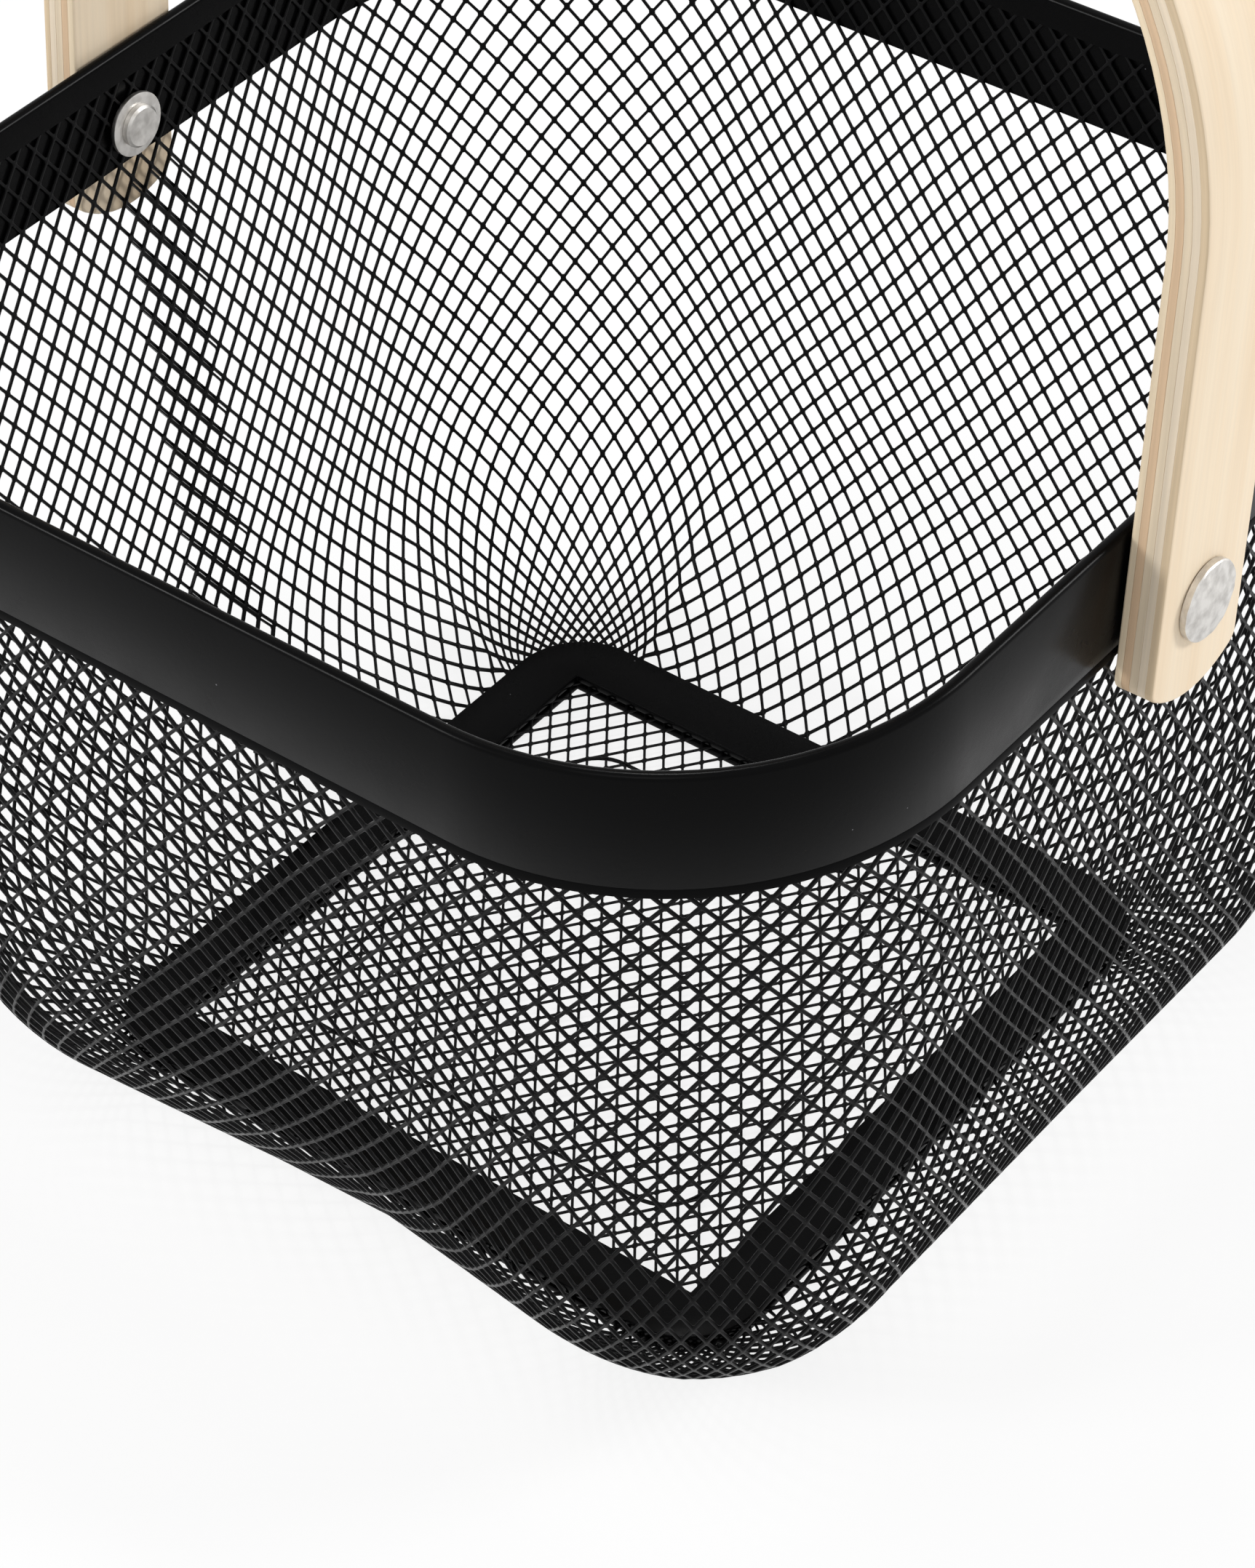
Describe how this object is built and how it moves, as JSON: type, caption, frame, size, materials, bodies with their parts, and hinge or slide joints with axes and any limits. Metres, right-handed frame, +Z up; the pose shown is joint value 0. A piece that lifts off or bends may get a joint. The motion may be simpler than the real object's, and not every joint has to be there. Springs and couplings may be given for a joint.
{
  "type": "mesh basket",
  "caption": "Deep square basket of diamond steel mesh with a folded steel rim, a clamped square base and a bentwood handle that swings on rivets.",
  "frame": {"origin": "middle of the foot's underside, on the surface that the basket stands on", "axes": "+Z up; X runs through both handle pivots; the lapped mesh seam is on the -X side; the handle leans back towards +Y at rest"},
  "size_m": [0.2728, 0.25, 0.3435],
  "materials": {
    "black_steel_sheet": "satin black powder coat",
    "black_mesh": "satin black powder coat on expanded steel",
    "rivet_steel": "tumbled bright steel",
    "washer_nylon": "black nylon",
    "birch_veneer": "clear matt lacquer on birch"
  },
  "bodies": {
    "basket": {"rim_band": "black_steel_sheet", "wall_mesh": "black_mesh", "floor_mesh": "black_mesh", "base_ring": "black_steel_sheet", "foot_ring": "black_steel_sheet", "pivot_rivets": "rivet_steel", "spacer_washers": "washer_nylon", "inner_washers": "rivet_steel"},
    "handle": {"handle_ply_1": "birch_veneer", "handle_ply_2": "birch_veneer", "handle_ply_3": "birch_veneer", "handle_ply_4": "birch_veneer", "handle_ply_5": "birch_veneer"}
  },
  "joints": [
    {"name": "handle_swing", "type": "hinge", "parent": "basket", "child": "handle", "pos_m": [0, 0, 0.171], "axis": [1, 0, 0], "range_deg": [-118, 129]}
  ]
}
